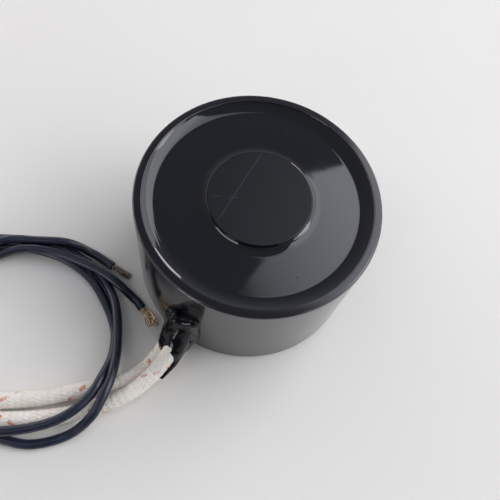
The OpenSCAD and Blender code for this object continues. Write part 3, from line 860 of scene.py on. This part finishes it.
def make_sleeve(name, run, tree, phase, tracer, seed, node):
    """Braided glass sleeve along its run, its yarns drawn coarser than real ones so that they show."""
    piece = make_line(name, run)
    run_tree(piece, tree, {
        "Radius": SLEEVE_D / 2 - 0.3 * MM, "Weave": 0.1 * MM, "Yarn Width": 0.8 * MM,
        "Yarn Thickness": 0.26 * MM,
        "Turn Length": 16 * MM, "Carriers": 12, "Samples": int(run_length(run) / (0.25 * MM)),
        "Phase": phase,
        "Tracer Place": tracer, "Yarn": YARN, "Tracer": TRACER, "Seed": seed})
    for vertex in piece.data.vertices:
        vertex.co.z = max(vertex.co.z, FLOOR_GAP)
    stand_for(piece, "glass_braid", node)
    return piece


def make_strands(name, points, tree, fan, seed, copper, node):
    """Bared strands of a lead's outer end, rooted inside the insulation."""
    run = np.array(points, float) * MM + np.array([0, -CUP_R, 0])
    root = run[0] + (run[0] - run[1]) * 0.2
    piece = make_line(name, np.vstack([root, run]))
    run_tree(piece, tree, {"Strands": 19, "Wire Width": STRAND_D, "Bundle Radius": 0.5 * MM, "Fan": fan,
                           "Twist": 1.6, "Uneven": 1.2 * MM, "Seed": seed, "Copper": copper})
    stand_for(piece, "copper_strands", node)
    return piece


def make_leads():
    """Both sleeves, leads and bared ends, each built along its route."""
    braid, fan = braid_tree(), strand_tree()
    for number, sleeve, lead, strands, phase, tracer, spread, seed, copper in (
            (1, SLEEVE_1, LEAD_1, STRANDS_1, -0.275, 12, 4.2, 3, BRIGHT_COPPER),
            (2, SLEEVE_2, LEAD_2, STRANDS_2, 0.67, 0, 1.3, 8, BROWN_COPPER)):
        run = smooth_route(sleeve + lead, LEAD_D / 2)
        covered = smooth_route(sleeve + lead, SLEEVE_D / 2)[:ROUTE_STEPS * (len(sleeve) - 1) + 1]
        tube = make_sleeve(f"braided_sleeve_{number}", covered, braid, phase, tracer, seed,
                           f"glass_sleeve_{number}")
        wire = make_lead(f"insulated_lead_{number}", run, f"lead_{number}")
        ends = make_strands(f"bared_strands_{number}", strands, fan, spread, seed, copper,
                            f"strands_{number}")


def finish_hidden_nodes():
    """Finishes of the solids inside the cup, which keep their own shapes."""
    copper, crimp = enamelled_copper(), tinned_copper()
    for node, material in (("bobbin", natural_nylon()), ("winding", copper), ("winding_tape", amber_film()),
                           ("start_tail", copper), ("finish_tail", copper), ("splice_1", crimp),
                           ("splice_2", crimp)):
        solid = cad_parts[node]
        solid.data.materials.clear()
        solid.data.materials.append(material)


# Stage

CAMERA_AT = Vector((21.53, -53.95, 133.38)) * MM
CAMERA_BACK = Vector((0.1468, -0.3824, 0.9123))
CAMERA_RIGHT = Vector((0.8191, 0.5641, 0.1047))
CAMERA_LENS = 42.911
LIGHTS = {
    "bright_ceiling": ("#f3f5ff", 0.5, 3.5, [(-105, 428, 700), (-66, 481, 700), (-90, 600, 700),
                                             (60, 650, 700), (420, 520, 700),
                                             (480, 130, 700), (300, 130, 700), (-79, 200, 700),
                                             (-79, 290, 700)]),
    "window_top": ("#f9fbff", 3.4, 3.4,
                   [(-30, 925, 600), (870, 233, 600), (870, 233, 1000), (-30, 925, 1000)]),
    "right_pane": ("#f9fbff", 6.5, 6.5,
                   [(494, 509, 480), (754, 309, 480), (754, 309, 800), (494, 509, 800)]),
    "window_foot": ("#f9fbff", 2.3, 2.3,
                    [(30, 900, 200), (870, 233, 200), (870, 233, 600), (30, 900, 600)]),
    "bright_pane": ("#fffbfd", 7.5, 7.5,
                    [(-140, 900, 150), (30, 900, 150), (30, 900, 260), (-140, 900, 260)]),
    "side_wall": ("#f9fbff", 1.4, 1.4,
                  [(870, 233, 150), (880, -300, 150), (880, -300, 850), (870, 233, 850)]),
    "low_left_light": ("#fffaf5", 4.5, 4.5,
                       [(-350, -250, 60), (-350, 300, 60), (-350, 300, 120), (-350, -250, 120)]),
    "low_front_light": ("#f3f6ff", 9, 9,
                        [(-260, -900, 70), (0, -900, 70), (0, -900, 220), (-260, -900, 220)]),
    "front_strip": ("#f9fbff", 3.6, 3.6,
                    [(-420, -350, 700), (10, -350, 700), (10, -440, 700), (-420, -440, 700)]),
}
FADE_WAY = (0.6, 1, 0)
FADE_REACH = (175 * MM, 404 * MM)
FADE_POWER = 0.6
FLOOR_REACH = 4
ROOM_LOW = 0.65
ROOM_HIGH = 0.33
ROOM_DARK_SHARE = 0.25
ROOM_DARK_WAY = (0.4, -0.9, 0)


def make_light(name, colour, near, far, corners):
    """A flat glowing panel that brightens from its near side to its far side, for the gloss to mirror."""
    panel = make_object(name, [Vector(corner) * MM for corner in corners], [tuple(range(len(corners)))])
    glow = bpy.data.materials.new(name)
    glow.use_nodes = True
    tree = glow.node_tree
    tree.nodes.clear()
    place = add(tree, "ShaderNodeTexCoord").outputs["Object"]
    reach = add(tree, "ShaderNodeVectorMath", {0: place, 1: FADE_WAY}, operation="DOT_PRODUCT")
    share = add(tree, "ShaderNodeMapRange", {"Value": reach.outputs["Value"], "From Min": FADE_REACH[0],
                                             "From Max": FADE_REACH[1]})
    share = add(tree, "ShaderNodeMath", {0: share.outputs["Result"], 1: FADE_POWER}, operation="POWER")
    strength = add(tree, "ShaderNodeMapRange",
                   {"Value": share.outputs["Value"], "To Min": near, "To Max": far})
    light = add(tree, "ShaderNodeEmission", {"Color": srgb(colour), "Strength": strength.outputs["Result"]})
    add(tree, "ShaderNodeOutputMaterial", {"Surface": light.outputs["Emission"]})
    panel.data.materials.append(glow)
    return panel


def make_stage():
    """Camera at the photograph's place, pale floor, the lit parts of a room and its dimmer rest."""
    camera = bpy.data.objects.new("camera", bpy.data.cameras.new("camera"))
    camera.data.sensor_width = 36
    camera.data.lens = CAMERA_LENS
    camera.data.clip_start = 1 * MM
    up = CAMERA_BACK.cross(CAMERA_RIGHT).normalized()
    right = up.cross(CAMERA_BACK).normalized()
    axes = Matrix((right, up, CAMERA_BACK.normalized())).transposed().to_4x4()
    camera.matrix_world = Matrix.Translation(CAMERA_AT) @ axes
    bpy.context.scene.collection.objects.link(camera)
    bpy.context.scene.camera = camera

    corners = [(x * FLOOR_REACH, y * FLOOR_REACH, 0) for x, y in ((-1, -1), (1, -1), (1, 1), (-1, 1))]
    floor = make_object("floor", corners, [(0, 1, 2, 3)])
    floor.data.materials.append(white_card())
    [make_light(name, *values) for name, values in LIGHTS.items()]

    world = bpy.data.worlds.new("room")
    world.use_nodes = True
    room = world.node_tree
    way = add(room, "ShaderNodeTexCoord").outputs["Generated"]
    height = add(room, "ShaderNodeSeparateXYZ", {0: way}).outputs["Z"]
    even = add(room, "ShaderNodeMapRange", {"Value": height, "From Min": 0.2, "From Max": 0.9,
                                            "To Min": ROOM_LOW,
                                            "To Max": ROOM_HIGH})
    facing = add(room, "ShaderNodeVectorMath", {0: way, 1: ROOM_DARK_WAY}, operation="DOT_PRODUCT")
    dim = add(room, "ShaderNodeMapRange", {"Value": facing.outputs["Value"], "From Min": 0.2,
                                           "From Max": 0.8,
                                           "To Min": 1, "To Max": ROOM_DARK_SHARE})
    light = add(room, "ShaderNodeMath", {0: even.outputs["Result"], 1: dim.outputs["Result"]},
                operation="MULTIPLY")
    background = room.nodes["Background"]
    background.inputs["Color"].default_value = srgb("#e8ebf8")
    room.links.new(light.outputs["Value"], background.inputs["Strength"])
    bpy.context.scene.world = world
    bpy.context.scene.view_settings.view_transform = "Standard"


make_stage()
make_leads()
make_cup()
make_core()
make_potting()
make_seal()
finish_hidden_nodes()
